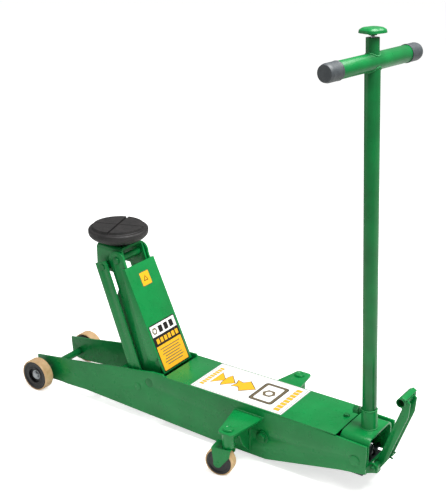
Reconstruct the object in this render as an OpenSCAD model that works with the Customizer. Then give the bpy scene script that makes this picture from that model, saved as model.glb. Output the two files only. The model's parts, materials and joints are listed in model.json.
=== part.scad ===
/* [Chassis] */
// Width over the outer faces of the two side plates
frame_w = 150; // [140:1:170]
// Thickness of the side plates
plate_t = 5; // [4:0.5:6]
// Inward joggle of the side plates behind the front wheels
joggle = 3; // [2:0.5:4]
// Height of the top face of the cover above the floor
cover_z = 146; // [144:1:150]
// Thickness of the cover sheet
cover_t = 3; // [2:0.5:4]

/* [Lift arm] */
// Distance between the lower and the upper arm pivot
arm_len = 327; // [300:1:340]
// Angle of the arm above the horizontal as drawn
arm_angle = 69.4; // [65:0.1:73]
// Width over the flanges of the arm channel
arm_w = 119; // [112:1:122]
// Length of the lever that the ram pushes
lever_len = 58; // [56:1:60]

/* [Saddle] */
// Outer diameter of the rubber pad
pad_d = 156; // [130:1:170]
// Height of the lifting face above the upper arm pivot
pad_rise = 78; // [74:1:84]

/* [Front wheels] */
// Diameter of a front wheel
front_d = 88; // [80:1:92]
// Width of a front wheel
front_w = 30; // [24:1:34]
// Distance from the middle of the jack to the outer face of a front wheel
front_face_y = 120; // [116:1:126]

/* [Casters] */
// Diameter of a caster wheel
caster_d = 72; // [68:1:74]
// Width of a caster wheel
caster_w = 26; // [24:1:30]
// Trail of the caster wheel behind its swivel
caster_trail = 20; // [14:1:22]
// Turn of both casters as drawn
caster_turn = 10; // [0:1:40]

/* [Handle] */
// Outer diameter of the handle tube
handle_d = 34; // [32:1:40]
// Forward lean of the handle as drawn
handle_lean = 2.7; // [0:0.1:5]
// Height of the middle of the T-bar above the handle pivot
tbar_rise = 899; // [850:1:930]
// Length of the T-bar over its end caps
tbar_len = 330; // [280:1:340]
// Turn of the T-bar in its socket
tbar_turn = 8; // [-10:1:10]

/* [Pedal] */
// Rearward lean of the pedal lever
pedal_lean = 19.3; // [16:0.1:24]
// Height of the foot bar above the pedal pivot, along the lever
pedal_len = 185; // [160:1:190]
// Width of the foot bar
foot_w = 62; // [50:1:70]

/* [Hidden] */

$fn = 64;
e = 0.01;                    // overshoot of a cutting tool
run_gap = 0.05;              // radial clearance of a running fit
green = "#1f8a4c";
dark_green = "#17663a";
steel = "#9aa0a3";
dark_steel = "#4b5054";
black = "#1c1c1e";
cream = "#d9b98a";

// X runs from the front tips of the side plates towards the handle
half_w = frame_w / 2;
plate_in = half_w - plate_t;            // inner face of a side plate
front_in = plate_in - joggle;           // inner face of its joggled front
plate_top = cover_z - cover_t;
plate_end = 1044;                       // rear edge of the side plates
cover_x0 = 470;
cover_x1 = 964.4;

axle_x = 49;
front_r = front_d / 2;
axle_r = 8;
axle_tube_r = 10;
recess = 9;                             // depth of the hub's outer recess

pivot_x = 419;                          // lower arm pivot
pivot_z = 114;
pivot_r = 12;
rod_dx = -38;                           // radius rod pivots, from the arm pivots
rod_dz = -22;
saddle_dx = -33;                        // saddle axis, from the upper arm pivot
top_x = pivot_x - arm_len * cos(arm_angle);
top_z = pivot_z + arm_len * sin(arm_angle);
arm_half = arm_w / 2;
arm_t = 4;
web_low = [48, 14];                     // web of the arm, behind and along the pivot line
web_high = [27, 302];
web_lean = atan2(web_low[0] - web_high[0], web_high[1] - web_low[1]);
web_face = web_low[0] * cos(web_lean) + web_low[1] * sin(web_lean);
inner_y = 46;                           // inner face of the arm's inner plates
inner_t = 5;
rod_y = 60.3;                           // inner face of a radius rod
rod_t = 4;
rod_r = 6;                              // radius rod bolts
lever_pin_r = 8;
lever_swing = 33.7;                     // lever ahead of straight down, as drawn
lever_x = pivot_x - lever_len * sin(lever_swing);
lever_z = pivot_z - lever_len * cos(lever_swing);

pad_z = top_z + pad_rise;               // lifting face
saddle_x = top_x + saddle_dx;
pad_r = pad_d / 2;
bracket_top = top_z + 31;
bracket_half = 43;
bracket_t = 5;
stem_r = 14;

ram_z = 60;
ram_r = 16;
bore_r = 21;
cyl_x0 = 522;
unit_x = 880;                           // front face of the pump block
tank_r = 40;
clamp_x = 767;
clamp_z = 72;

yoke_x = 1015.5;                        // handle pivot
yoke_z = 93.5;
yoke_pin_r = 8;
yoke_half = 60;
yoke_t = 5;
yoke_bend = 20;
yoke_x0 = 968;
yoke_x1 = 1042;
roller_drop = 22;
roller_r = 9;
hand_y = 24;
foot_y = -20;
foot_z = 49;
sleeve_r = handle_d / 2 + 2;
sleeve_top = 99;                        // above the handle pivot, along the handle
tube_foot = 54;
handle_r = handle_d / 2;
tbar_r = 19;
cap_len = 42;
stub_r = 14.5;
knob_h = tbar_rise + 54;                // underside of the knob along the handle

caster_x = 729;
caster_y = 166;
bracket_z = 124;                        // top face of a caster bracket
caster_r = caster_d / 2;
crown_z = 74;                           // underside of a caster fork's crown
crown_t = 4.5;
ear_t = 4;
king_r = 7;

pedal_x = 1050;
pedal_z = 70;
pedal_pin_r = 7;
pedal_half = 19;
pedal_back = 15;                        // rear face of the pedal lever behind its line
foot_r = 11;
foot_s = -12;                           // foot bar axis ahead of the lever's line
block_top = 59;                         // top of the low rear part of the pump block
block_end = 1027;

x_front = axle_x - front_r;
x_rear = pedal_x + (pedal_len + foot_r + 1.4) * sin(pedal_lean)
         + (foot_s + 17.3) * cos(pedal_lean);
mid_x = (x_front + x_rear) / 2;

// ---- placing ----

module placed() { translate([-mid_x, 0, 0]) children(); }

// An outline in X and Z, extruded from y0 to y1
module side_slab(y0, y1) {
    translate([0, y1, 0]) rotate([90, 0, 0]) linear_extrude(y1 - y0) children();
}

// A cylinder along Y from y0 to y1, at x and z
module bar_y(x, z, r, y0, y1, fn = 64) {
    translate([x, y1, z]) rotate([90, 0, 0]) cylinder(r = r, h = y1 - y0, $fn = fn);
}

// A cylinder along X from x0 to x1
module bar_x(x0, x1, y, z, r, fn = 64) {
    translate([x0, y, z]) rotate([0, 90, 0]) cylinder(r = r, h = x1 - x0, $fn = fn);
}

module both_sides() {
    children();
    mirror([0, 1, 0]) children();
}

// The arm's own frame: u runs from the lower to the upper pivot, v to the rear
module on_arm() {
    translate([pivot_x, 0, pivot_z]) rotate([0, -(90 - arm_angle), 0]) children();
}

// The handle's own frame: Z runs up the handle from its pivot
module on_handle() {
    translate([yoke_x, 0, yoke_z]) rotate([0, -handle_lean, 0]) children();
}

// The pedal's own frame: Z runs up the lever from its pivot
module on_pedal() {
    translate([pedal_x, 0, pedal_z]) rotate([0, pedal_lean, 0]) children();
}

// The caster's own frame, turned about its swivel; side is -1 near and 1 far
module on_caster(side) {
    translate([caster_x, side * caster_y, 0]) rotate([0, 0, -side * caster_turn]) children();
}

// ---- chassis ----

module side_outline() {
    difference() {
        polygon([[19, 82.5], [131, 99], [432, 148], [464, 150], [cover_x0, plate_top],
                 [908, plate_top], [plate_end, 138], [plate_end, 66], [978, 56], [777, 12.6],
                 [650, 12.6], [200, 27], [60, 21], [43, 21], [28, 27], [22, 40]]);
        translate([pivot_x, pivot_z]) circle(r = pivot_r + run_gap);
        translate([pivot_x + rod_dx, pivot_z + rod_dz]) circle(r = rod_r + run_gap);
        translate([axle_x, front_r]) circle(r = axle_r + run_gap);
        translate([clamp_x, clamp_z]) circle(r = 8 + run_gap);
        translate([yoke_x, yoke_z]) circle(r = yoke_pin_r + run_gap);
    }
}

module side_plates() {
    color(green) both_sides() intersection() {
        side_slab(-half_w - e, -front_in + e) side_outline();
        linear_extrude(160) polygon([
            [0, -half_w + joggle], [105, -half_w + joggle], [131, -half_w], [plate_end, -half_w],
            [plate_end, -plate_in], [131, -plate_in], [105, -front_in], [0, -front_in]]);
    }
}

module cross_tubes() {
    color(green) {
        difference() {
            bar_y(axle_x, front_r, axle_tube_r, -front_in, front_in);
            bar_y(axle_x, front_r, axle_r + run_gap, -front_in - e, front_in + e);
        }
        for (p = [[230, 46], [500, 128]])
            difference() {
                bar_y(p[0], p[1], 10, -plate_in, plate_in);
                bar_y(p[0], p[1], 7, -plate_in - e, plate_in + e);
            }
    }
}

module top_cover() {
    color(green) difference() {
        translate([cover_x0, -half_w, plate_top]) cube([cover_x1 - cover_x0, frame_w, cover_t]);
        translate([946, 14, plate_top - e]) cylinder(r = 4, h = cover_t + 2 * e);
    }
}

module cover_label() {
    color("white") translate([549, -half_w + 3, cover_z]) cube([267, frame_w - 6, 0.4]);
}

module cover_screw() {
    color(dark_green) translate([946, 14, 0]) {
        translate([0, 0, plate_top - 6]) cylinder(r = 4 - e, h = 6 + cover_t);
        translate([0, 0, cover_z]) cylinder(r = 8, h = 5, $fn = 6);
    }
}

module front_axle() {
    color(steel) bar_y(axle_x, front_r, axle_r, -front_face_y + 3, front_face_y - 3);
}

module axle_nuts() {
    color(dark_steel) both_sides() {
        difference() {
            bar_y(axle_x, front_r, 13, front_in + plate_t, front_face_y - front_w - 0.4);
            bar_y(axle_x, front_r, axle_r, front_in, front_face_y);
        }
        difference() {
            bar_y(axle_x, front_r, 12, front_face_y - recess + 0.4, front_face_y - 4, 6);
            bar_y(axle_x, front_r, axle_r, front_in, front_face_y + e);
        }
    }
}

module front_wheel(side) {
    inner = side * (front_face_y - front_w);
    outer = side * front_face_y;
    y0 = min(inner, outer);
    color(cream) difference() {
        translate([axle_x, y0 + front_w, front_r]) rotate([90, 0, 0]) rotate_extrude()
            polygon([[0, 0], [front_r - 2, 0], [front_r, 2], [front_r, front_w - 2],
                     [front_r - 2, front_w], [0, front_w]]);
        bar_y(axle_x, front_r, axle_r + run_gap, y0 - e, y0 + front_w + e);
        bar_y(axle_x, front_r, 21, side > 0 ? outer - recess : outer - e,
              side > 0 ? outer + e : outer + recess);
    }
}

// ---- casters ----

module caster_brackets() {
    color(green) both_sides() difference() {
        union() {
            translate([0, 0, bracket_z - 5]) linear_extrude(5)
                polygon([[686, half_w], [768, half_w], [753, caster_y + 16], [747, caster_y + 22],
                         [717, caster_y + 22], [711, caster_y + 16]]);
            translate([caster_x, caster_y, crown_z + crown_t + 0.6])
                cylinder(r = 15.5, h = bracket_z - 5 - crown_z - crown_t - 0.6);
            side_gusset();
        }
        translate([caster_x, caster_y, 0]) cylinder(r = king_r + run_gap, h = 200);
    }
}

module side_gusset() {
    translate([caster_x + 2.5, 0, 0]) rotate([0, -90, 0]) linear_extrude(5)
        polygon([[bracket_z - 5, half_w], [bracket_z - 5, caster_y - 12], [87, caster_y - 12],
                 [87, caster_y - 44], [50, caster_y - 62], [20, half_w]]);
}

module caster_fork(side) {
    color(green) on_caster(side) {
        difference() {
            union() {
                translate([-36, -caster_w / 2 - 6, crown_z]) cube([48, caster_w + 12, crown_t]);
            }
            translate([0, 0, crown_z - e]) cylinder(r = king_r, h = crown_t + 2 * e);
        }
        for (s = [-1, 1])
            side_slab(s * (caster_w / 2 + 4) - ear_t / 2, s * (caster_w / 2 + 4) + ear_t / 2)
                fork_ear();
    }
}

module fork_ear() {
    difference() {
        union() {
            polygon([[-36, crown_z + e], [12, crown_z + e], [10, crown_z - 16],
                     [-caster_trail + 7, caster_r - 8], [-caster_trail - 10, caster_r + 2]]);
            translate([-caster_trail, caster_r]) circle(r = 11);
        }
        translate([-caster_trail, caster_r]) circle(r = 5);
    }
}

module caster_bolts(side) {
    color(steel) on_caster(side) {
        translate([0, 0, crown_z - 1.5]) cylinder(r = king_r, h = bracket_z - crown_z + 2);
        translate([0, 0, bracket_z + 0.3]) cylinder(r = 14, h = 4);
        bar_y(-caster_trail, caster_r, 5, -caster_w / 2 - 6.5, caster_w / 2 + 6.5);
    }
}

module caster_wheel(side) {
    color(cream) on_caster(side) difference() {
        translate([-caster_trail, caster_w / 2, caster_r]) rotate([90, 0, 0]) rotate_extrude()
            polygon([[0, 0], [caster_r - 2, 0], [caster_r, 2], [caster_r, caster_w - 2],
                     [caster_r - 2, caster_w], [0, caster_w]]);
        bar_y(-caster_trail, caster_r, 5 + run_gap, -caster_w, caster_w);
    }
}

// ---- lift arm and saddle ----

module arm_channel() {
    color(green) on_arm() {
        for (s = [-1, 1])
            side_slab(s * (arm_half - arm_t / 2) - arm_t / 2, s * (arm_half - arm_t / 2) + arm_t / 2)
                polygon([[8, 56], [14, 302], [27, 302], [44, 66], [36, 54], [24, 50]]);
        side_slab(-arm_half, arm_half)
            polygon([web_high, web_high - [arm_t, 0], web_low - [arm_t, 0], web_low]);
    }
}

module arm_plate_outline() {
    difference() {
        union() {
            polygon([[-30, 0], [24, 0], [40.6, 60], [22.95, 302], [22.95, arm_len],
                     [-24, arm_len], [-24, 252], [-40, 232], [-40, 40]]);
            translate([0, arm_len]) circle(r = 25);
            circle(r = 30);
            rotate(-(90 - arm_angle)) {
                lever_web();
            }
        }
        circle(r = 20);
        translate([0, arm_len]) circle(r = 9);
        lever_place() circle(r = lever_pin_r);
    }
}

module lever_place() {
    rotate(-(90 - arm_angle)) translate([lever_x - pivot_x, lever_z - pivot_z]) children();
}

module lever_web() {
    rotate(-lever_swing) polygon([[-28, 0], [28, 0], [15, -lever_len], [-15, -lever_len]]);
    translate([lever_x - pivot_x, lever_z - pivot_z]) circle(r = 15);
}

module arm_plates() {
    color(green) on_arm() for (s = [-1, 1])
        side_slab(s * (inner_y + inner_t / 2) - inner_t / 2, s * (inner_y + inner_t / 2) + inner_t / 2)
            arm_plate_outline();
}

module arm_hub() {
    color(dark_green) difference() {
        bar_y(pivot_x, pivot_z, 20, -arm_half + 1, arm_half - 1);
        bar_y(pivot_x, pivot_z, pivot_r + run_gap, -arm_half, arm_half);
    }
}

module arm_pivot_pin() {
    color(steel) bar_y(pivot_x, pivot_z, pivot_r, -half_w, half_w);
}

module lever_pin() {
    color(steel) bar_y(lever_x, lever_z, lever_pin_r, -inner_y - inner_t - 4, inner_y + inner_t + 4);
}

module arm_labels() {
    color("gold") on_arm() rotate([0, -web_lean, 0]) translate([web_face, 0, 0]) {
        translate([0, -55, 13]) cube([0.4, 106, 126]);
        translate([0, -18, 237]) cube([0.4, 38, 38]);
    }
}

module radius_rod(side) {
    y0 = side > 0 ? rod_y : -rod_y - rod_t;
    color(green) translate([pivot_x + rod_dx, 0, pivot_z + rod_dz])
        rotate([0, -(90 - arm_angle), 0]) side_slab(y0, y0 + rod_t) difference() {
            union() {
                translate([-19, 0]) square([38, arm_len + 14]);
                circle(r = 19);
            }
            circle(r = rod_r + run_gap);
            translate([0, arm_len]) circle(r = rod_r + 0.6);
        }
}

module rod_pivot_bolts() {
    color(steel) both_sides() {
        bar_y(pivot_x + rod_dx, pivot_z + rod_dz, rod_r, rod_y - 0.3, half_w);
        bar_y(pivot_x + rod_dx, pivot_z + rod_dz, 10, half_w, half_w + 0.8);
    }
}

module saddle_bracket() {
    front = saddle_x - 39;
    rear = saddle_x + 42;
    color(dark_green) difference() {
        union() {
            intersection() {
                side_slab(-bracket_half, bracket_half)
                    polygon([[front, bracket_top], [rear, bracket_top], [rear + 17, top_z - 20],
                             [top_x + 6, top_z - 38], [front, top_z - 38]]);
                translate([0, 0, bracket_top]) rotate([0, 90, 0])
                    bracket_profile();
            }
            translate([front, -bracket_half + 4, top_z - 38])
                cube([bracket_t, 2 * bracket_half - 8, bracket_top - top_z + 36]);
        }
        bar_y(top_x, top_z, 9 + run_gap, -100, 100);
        bar_y(top_x + rod_dx, top_z + rod_dz, rod_r, -100, 100);
        translate([saddle_x, 0, 0]) cylinder(r = stem_r + run_gap, h = 900);
    }
}

// Bent section of the bracket: an inverted U with rounded corners
module bracket_profile() {
    r = 11;
    linear_extrude(600) difference() {
        union() {
            translate([0, -bracket_half + r]) square([100, 2 * (bracket_half - r)]);
            translate([r, -bracket_half]) square([100, 2 * bracket_half]);
            for (s = [-1, 1]) translate([r, s * (bracket_half - r)]) circle(r = r);
        }
        translate([bracket_t, -bracket_half + r]) square([100, 2 * (bracket_half - r)]);
        translate([r, -bracket_half + bracket_t]) square([100, 2 * (bracket_half - bracket_t)]);
        for (s = [-1, 1]) translate([r, s * (bracket_half - r)]) circle(r = r - bracket_t);
    }
}

module saddle_pivot_pin() {
    color(steel) bar_y(top_x, top_z, 9, -inner_y - inner_t - 4, inner_y + inner_t + 4);
}

module rod_bolts() {
    color(steel) both_sides() {
        bar_y(top_x + rod_dx, top_z + rod_dz, rod_r, bracket_half - bracket_t - 6, rod_y + rod_t + 0.3);
        bar_y(top_x + rod_dx, top_z + rod_dz, 9, rod_y + rod_t + 0.3, rod_y + rod_t + 2.3);
        difference() {
            bar_y(top_x + rod_dx, top_z + rod_dz, 10, bracket_half + e, rod_y - 0.6);
            bar_y(top_x + rod_dx, top_z + rod_dz, rod_r, bracket_half, rod_y);
        }
    }
}

module saddle_cup() {
    color(dark_steel) translate([saddle_x, 0, 0]) {
        translate([0, 0, bracket_top - 16]) cylinder(r = stem_r, h = 17);
        translate([0, 0, bracket_top - 14]) cylinder(r = 19, h = 2);
        translate([0, 0, bracket_top + 0.5]) cylinder(r1 = 40, r2 = 56, h = 10);
    }
}

module saddle_pad() {
    base = bracket_top + 10.5;
    color(black) translate([saddle_x, 0, 0]) difference() {
        rotate_extrude() polygon([[0, base], [58, base], [pad_r - 7, base + 6], [pad_r - 1, base + 13], [pad_r, base + 18],
                                  [pad_r, pad_z - 10], [pad_r - 3, pad_z - 7], [67, pad_z - 7],
                                  [66, pad_z], [0, pad_z]]);
        rotate([0, 0, 18]) translate([-3, -pad_r, pad_z - 5]) cube([6, 2 * pad_r, 20]);
        rotate([0, 0, 20]) translate([-pad_r, -1.2, pad_z - 3]) cube([2 * pad_r, 2.4, 20]);
    }
}

// ---- hydraulic unit ----

module ram() {
    color(steel) {
        bar_x(lever_x + 52, lever_x + 235, 0, ram_z, ram_r);
        bar_x(lever_x + 217, lever_x + 235, 0, ram_z, bore_r - run_gap);
    }
}

module crosshead() {
    color(dark_steel) {
        translate([lever_x + 34, -30, ram_z - 22]) cube([18, 60, 44]);
        for (s = [-1, 1]) side_slab(s * 27 - 3, s * 27 + 3) difference() {
            translate([lever_x - 20, ram_z - 24]) square([54, 48]);
            translate([lever_x - 9.4, pivot_z - lever_len - 9]) square([18.8, 31]);
        }
    }
}

module cylinder_gland() {
    color(dark_steel) difference() {
        bar_x(cyl_x0, cyl_x0 + 25, 0, ram_z, 30);
        bar_x(cyl_x0 - e, cyl_x0 + 26, 0, ram_z, ram_r + run_gap);
    }
}

module cylinder_tube() {
    color(steel) difference() {
        bar_x(cyl_x0 + 25, unit_x, 0, ram_z, 27);
        bar_x(cyl_x0 + 24, unit_x - 10, 0, ram_z, bore_r);
    }
}

module reservoir() {
    color(green) difference() {
        bar_x(cyl_x0 + 28, unit_x, 0, ram_z, tank_r);
        bar_x(cyl_x0 + 34, unit_x + e, 0, ram_z, tank_r - 3);
        bar_x(cyl_x0 + 27, cyl_x0 + 35, 0, ram_z, 27);
    }
}

module unit_clamp() {
    color(dark_green) difference() {
        union() {
            bar_x(clamp_x - 16, clamp_x + 16, 0, ram_z, tank_r + 6);
            both_sides() translate([clamp_x - 16, tank_r, clamp_z - 14])
                cube([32, plate_in - tank_r, 28]);
        }
        bar_x(clamp_x - 17, clamp_x + 17, 0, ram_z, tank_r);
        both_sides() bar_y(clamp_x, clamp_z, 8, 52, half_w);
    }
}

module unit_bolts() {
    color(dark_steel) both_sides() {
        bar_y(clamp_x, clamp_z, 8, 52, half_w);
        bar_y(clamp_x, clamp_z, 17, half_w, half_w + 3);
        bar_y(clamp_x, clamp_z, 13.5, half_w + 3, half_w + 12, 6);
    }
}

module pump_block() {
    color(dark_steel) difference() {
        union() {
            translate([unit_x, -45, 40]) cube([75, 90, 78]);
            translate([unit_x + 75, -52, 44]) cube([block_end - unit_x - 75, 104, block_top - 44]);
        }
        bar_x(926, 956, hand_y, yoke_z - roller_drop, 7 + run_gap);
        bar_x(988, 1028, foot_y, foot_z, 4.5 + run_gap);
        bar_x(1010, 1028, foot_y, foot_z, 8.3);
        translate([yoke_x, 0, 46]) cylinder(r = 6 + run_gap, h = 30);
    }
}

module pump_barrels() {
    color(steel) {
        difference() {
            bar_x(955, 978, hand_y, yoke_z - roller_drop, 9);
            bar_x(954, 979, hand_y, yoke_z - roller_drop, 7 + run_gap);
        }
        difference() {
            bar_x(1010, 1030, foot_y, foot_z, 5.8);
            bar_x(1009, 1031, foot_y, foot_z, 4.5 + run_gap);
        }
    }
}

module hand_plunger() {
    head = yoke_x - roller_r - 0.4;
    color(steel) {
        bar_x(938, head, hand_y, yoke_z - roller_drop, 7);
        bar_x(head - 4, head, hand_y, yoke_z - roller_drop, 12);
    }
}

module hand_plunger_spring() {
    color(steel) spring_x(965, yoke_x - roller_r - 4.4, hand_y, yoke_z - roller_drop, 10.7, 8);
}

module foot_plunger() {
    color(steel) {
        bar_x(1002, pedal_x - 8.4, foot_y, foot_z, 4.5);
        bar_x(pedal_x - 10.4, pedal_x - 8.4, foot_y, foot_z, 8);
    }
}

module foot_plunger_spring() {
    color(steel) spring_x(1021, pedal_x - 10.4, foot_y, foot_z, 6.95, 5);
}

// A coil spring along X, drawn as a row of rings
module spring_x(x0, x1, y, z, r, n) {
    wire = 0.8;
    for (i = [0 : n - 1])
        translate([x0 + wire + (x1 - x0 - 2 * wire) * i / (n - 1), y, z]) rotate([0, 90, 0])
            rotate_extrude() translate([r, 0]) circle(r = wire, $fn = 16);
}

module release_spindle() {
    color(steel) translate([yoke_x, 0, 0]) difference() {
        union() {
            translate([0, 0, 47]) cylinder(r = 6, h = 37);
            translate([0, 0, 78]) cylinder(r = 10, h = 19);
        }
        translate([0, 0, 86]) cylinder(r = 7.4, h = 12);
    }
}

// ---- handle ----

module yoke_pins() {
    color(steel) both_sides() {
        bar_y(yoke_x, yoke_z, yoke_pin_r, yoke_half - yoke_t - 1, half_w);
        bar_y(yoke_x, yoke_z, 13, half_w, half_w + 1.5);
    }
}

module yoke_profile() {
    ri = yoke_bend - yoke_t;
    flat = yoke_half - yoke_bend;
    translate([-cover_z, 0]) difference() {
        union() {
            translate([0, -flat]) square([100, 2 * flat]);
            translate([yoke_bend, -yoke_half]) square([100, 2 * yoke_half]);
            for (s = [-1, 1]) translate([yoke_bend, s * flat]) circle(r = yoke_bend);
        }
        translate([yoke_t, -flat]) square([100, 2 * flat]);
        translate([yoke_bend, -yoke_half + yoke_t]) square([100, 2 * (yoke_half - yoke_t)]);
        for (s = [-1, 1]) translate([yoke_bend, s * flat]) circle(r = ri);
    }
}

module handle_yoke() {
    color(green) {
        difference() {
            intersection() {
                translate([yoke_x0 - 5, 0, 0]) rotate([0, 90, 0]) linear_extrude(120) yoke_profile();
                side_slab(-yoke_half, yoke_half)
                    polygon([[yoke_x0, cover_z], [yoke_x1, cover_z], [yoke_x1, 79], [1030, 64],
                             [1003, 62], [yoke_x0, 100]]);
            }
            bar_y(yoke_x, yoke_z, yoke_pin_r + run_gap, -100, 100);
            on_handle() translate([0, 0, 30]) cylinder(r = 12, h = 60);
        }
        on_handle() difference() {
            translate([0, 0, tube_foot - 3]) cylinder(r = sleeve_r, h = sleeve_top - tube_foot + 3);
            translate([0, 0, tube_foot - 4]) cylinder(r = handle_r, h = 60);
            translate([0, 0, 88]) rotate([0, -90, 0]) cylinder(r = 5, h = 40);
            translate([-60, -60, cover_z - yoke_z - 61.5]) cube([120, 120, 60]);
        }
    }
}

module pump_roller() {
    color(steel) {
        bar_y(yoke_x, yoke_z - roller_drop, 5, hand_y - 9, yoke_half - yoke_t);
        difference() {
            bar_y(yoke_x, yoke_z - roller_drop, roller_r, hand_y - 8, hand_y + 8);
            bar_y(yoke_x, yoke_z - roller_drop, 5, hand_y - 9, hand_y + 9);
        }
    }
}

module clamp_bolt() {
    color(dark_green) on_handle() translate([-handle_r, 0, 88]) rotate([0, -90, 0]) {
        cylinder(r = 5, h = 10);
        translate([0, 0, 9]) cylinder(r = 10.5, h = 13, $fn = 6);
    }
}

module handle_tube() {
    color(green) on_handle() difference() {
        translate([0, 0, tube_foot]) cylinder(r = handle_r, h = tbar_rise - tube_foot);
        translate([0, 0, tube_foot - e]) cylinder(r = handle_r - 2.5, h = 1000);
        translate([0, 0, tbar_rise]) rotate([0, 0, -tbar_turn]) rotate([90, 0, 0])
            cylinder(r = tbar_r, h = 100, center = true);
    }
}

module t_bar() {
    color(green) on_handle() difference() {
        union() {
            translate([0, 0, tbar_rise]) rotate([0, 0, -tbar_turn]) rotate([90, 0, 0])
                cylinder(r = tbar_r, h = tbar_len - 12, center = true);
            translate([0, 0, tbar_rise]) cylinder(r = stub_r, h = 50);
        }
        translate([0, 0, tbar_rise]) rotate([0, 0, -tbar_turn]) rotate([90, 0, 0])
            cylinder(r = tbar_r - 2.5, h = tbar_len, center = true);
        translate([0, 0, tbar_rise - 30]) cylinder(r = 7, h = 90);
    }
}

module grip_caps() {
    color(dark_steel) on_handle() translate([0, 0, tbar_rise]) rotate([0, 0, -tbar_turn])
        for (s = [-1, 1]) rotate([s * 90, 0, 0]) difference() {
            translate([0, 0, tbar_len / 2 - cap_len]) cylinder(r = tbar_r + 1.6, h = cap_len);
            translate([0, 0, tbar_len / 2 - cap_len - e]) cylinder(r = tbar_r, h = cap_len - 6);
        }
}

module release_rod() {
    color(steel) on_handle() {
        sphere(r = 6.6);
        cylinder(r = 4, h = knob_h + 4);
    }
}

module release_knob() {
    color(green) on_handle() translate([0, 0, knob_h]) difference() {
        union() {
            cylinder(r = 9, h = 6);
            translate([0, 0, 6]) linear_extrude(12) union() {
                circle(r = 23);
                for (a = [0 : 90 : 270]) rotate(a + 20) translate([19, 0]) circle(r = 11);
            }
        }
        translate([0, 0, -1]) cylinder(r = 4, h = 5);
    }
}

// ---- pedal ----

module pedal_bracket() {
    color(dark_green) {
        difference() {
            translate([block_end, -46, 46]) cube([5, 92, 17]);
            bar_x(block_end - 1, block_end + 6, foot_y, foot_z, 8.6);
        }
        both_sides() side_slab(40, 46) difference() {
            union() {
                polygon([[block_end + 4, 50], [block_end + 4, 63], [pedal_x - 8, 80],
                         [pedal_x + 10, 62]]);
                translate([pedal_x, pedal_z]) circle(r = 12);
            }
            translate([pedal_x, pedal_z]) circle(r = pedal_pin_r);
        }
    }
}

module pedal_pin() {
    color(steel) bar_y(pedal_x, pedal_z, pedal_pin_r, -54, 54);
}

module pedal_lever() {
    color(green) difference() {
        union() {
            on_pedal() difference() {
                side_slab(-pedal_half, pedal_half) union() {
                    polygon([[-6, 16], [-6, pedal_len - 20], [foot_s - 11, pedal_len - 8],
                             [foot_s - 9, pedal_len + 6], [foot_s + 4, pedal_len + 10],
                             [foot_s + 18, pedal_len + 4], [pedal_back, pedal_len - 30],
                             [pedal_back, 18], [10, 0], [-10, 0]]);
                    circle(r = 11);
                }
                side_slab(-pedal_half + 4, pedal_half - 4) polygon([
                    [-2, 16], [-2, pedal_len + 20], [30, pedal_len + 20], [30, 16]]);
                translate([foot_s, 0, pedal_len]) rotate([90, 0, 0])
                    cylinder(r = foot_r, h = 100, center = true);
            }
            side_slab(foot_y - 4, foot_y + 8) {
                translate([pedal_x - 3, foot_z]) circle(r = 5);
                translate([pedal_x - 6, foot_z]) square([10, 13]);
            }
        }
        bar_y(pedal_x, pedal_z, pedal_pin_r + run_gap, -60, 60);
    }
}

module pedal_crossbar() {
    color(green) on_pedal() translate([foot_s, 0, pedal_len]) rotate([90, 0, 0]) difference() {
        cylinder(r = foot_r, h = foot_w, center = true);
        cylinder(r = foot_r - 2, h = foot_w + 1, center = true);
    }
}

module pedal_tread() {
    color(green) on_pedal() translate([foot_s, -foot_w / 2 + 1, pedal_len + foot_r + 0.07])
        rotate([0, 6, 0]) translate([-4, 0, 0]) cube([12, foot_w - 2, 3.5]);
}

module pedal_bolts() {
    color(dark_steel) on_pedal() for (h = [20, 38])
        translate([-2, 0, h]) rotate([0, 90, 0]) cylinder(r = 2.5, h = pedal_back + 9);
}

placed() side_plates();
placed() cross_tubes();
placed() top_cover();
placed() cover_label();
placed() cover_screw();
placed() front_axle();
placed() axle_nuts();
placed() caster_brackets();
placed() arm_pivot_pin();
placed() rod_pivot_bolts();
placed() reservoir();
placed() cylinder_tube();
placed() cylinder_gland();
placed() unit_clamp();
placed() unit_bolts();
placed() pump_block();
placed() pump_barrels();
placed() release_spindle();
placed() yoke_pins();
placed() pedal_bracket();
placed() pedal_pin();
placed() arm_channel();
placed() arm_plates();
placed() arm_hub();
placed() lever_pin();
placed() arm_labels();
placed() radius_rod(-1);  // radius_rod_near
placed() radius_rod(1);  // radius_rod_far
placed() saddle_bracket();
placed() saddle_pivot_pin();
placed() rod_bolts();
placed() saddle_cup();
placed() saddle_pad();
placed() ram();
placed() crosshead();
placed() hand_plunger();
placed() hand_plunger_spring();
placed() foot_plunger();
placed() foot_plunger_spring();
placed() handle_yoke();
placed() pump_roller();
placed() clamp_bolt();
placed() handle_tube();
placed() t_bar();
placed() grip_caps();
placed() release_rod();
placed() release_knob();
placed() pedal_lever();
placed() pedal_crossbar();
placed() pedal_tread();
placed() pedal_bolts();
placed() front_wheel(-1);  // front_wheel_near
placed() front_wheel(1);  // front_wheel_far
placed() caster_fork(-1);  // caster_fork_near
placed() caster_bolts(-1);  // caster_bolts_near
placed() caster_wheel(-1);  // caster_wheel_near
placed() caster_fork(1);  // caster_fork_far
placed() caster_bolts(1);  // caster_bolts_far
placed() caster_wheel(1);  // caster_wheel_far
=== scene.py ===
"""A long-chassis hydraulic trolley jack: its looks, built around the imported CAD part."""

import json
import math

import bmesh
import bpy
from mathutils import Matrix, Vector


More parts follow.
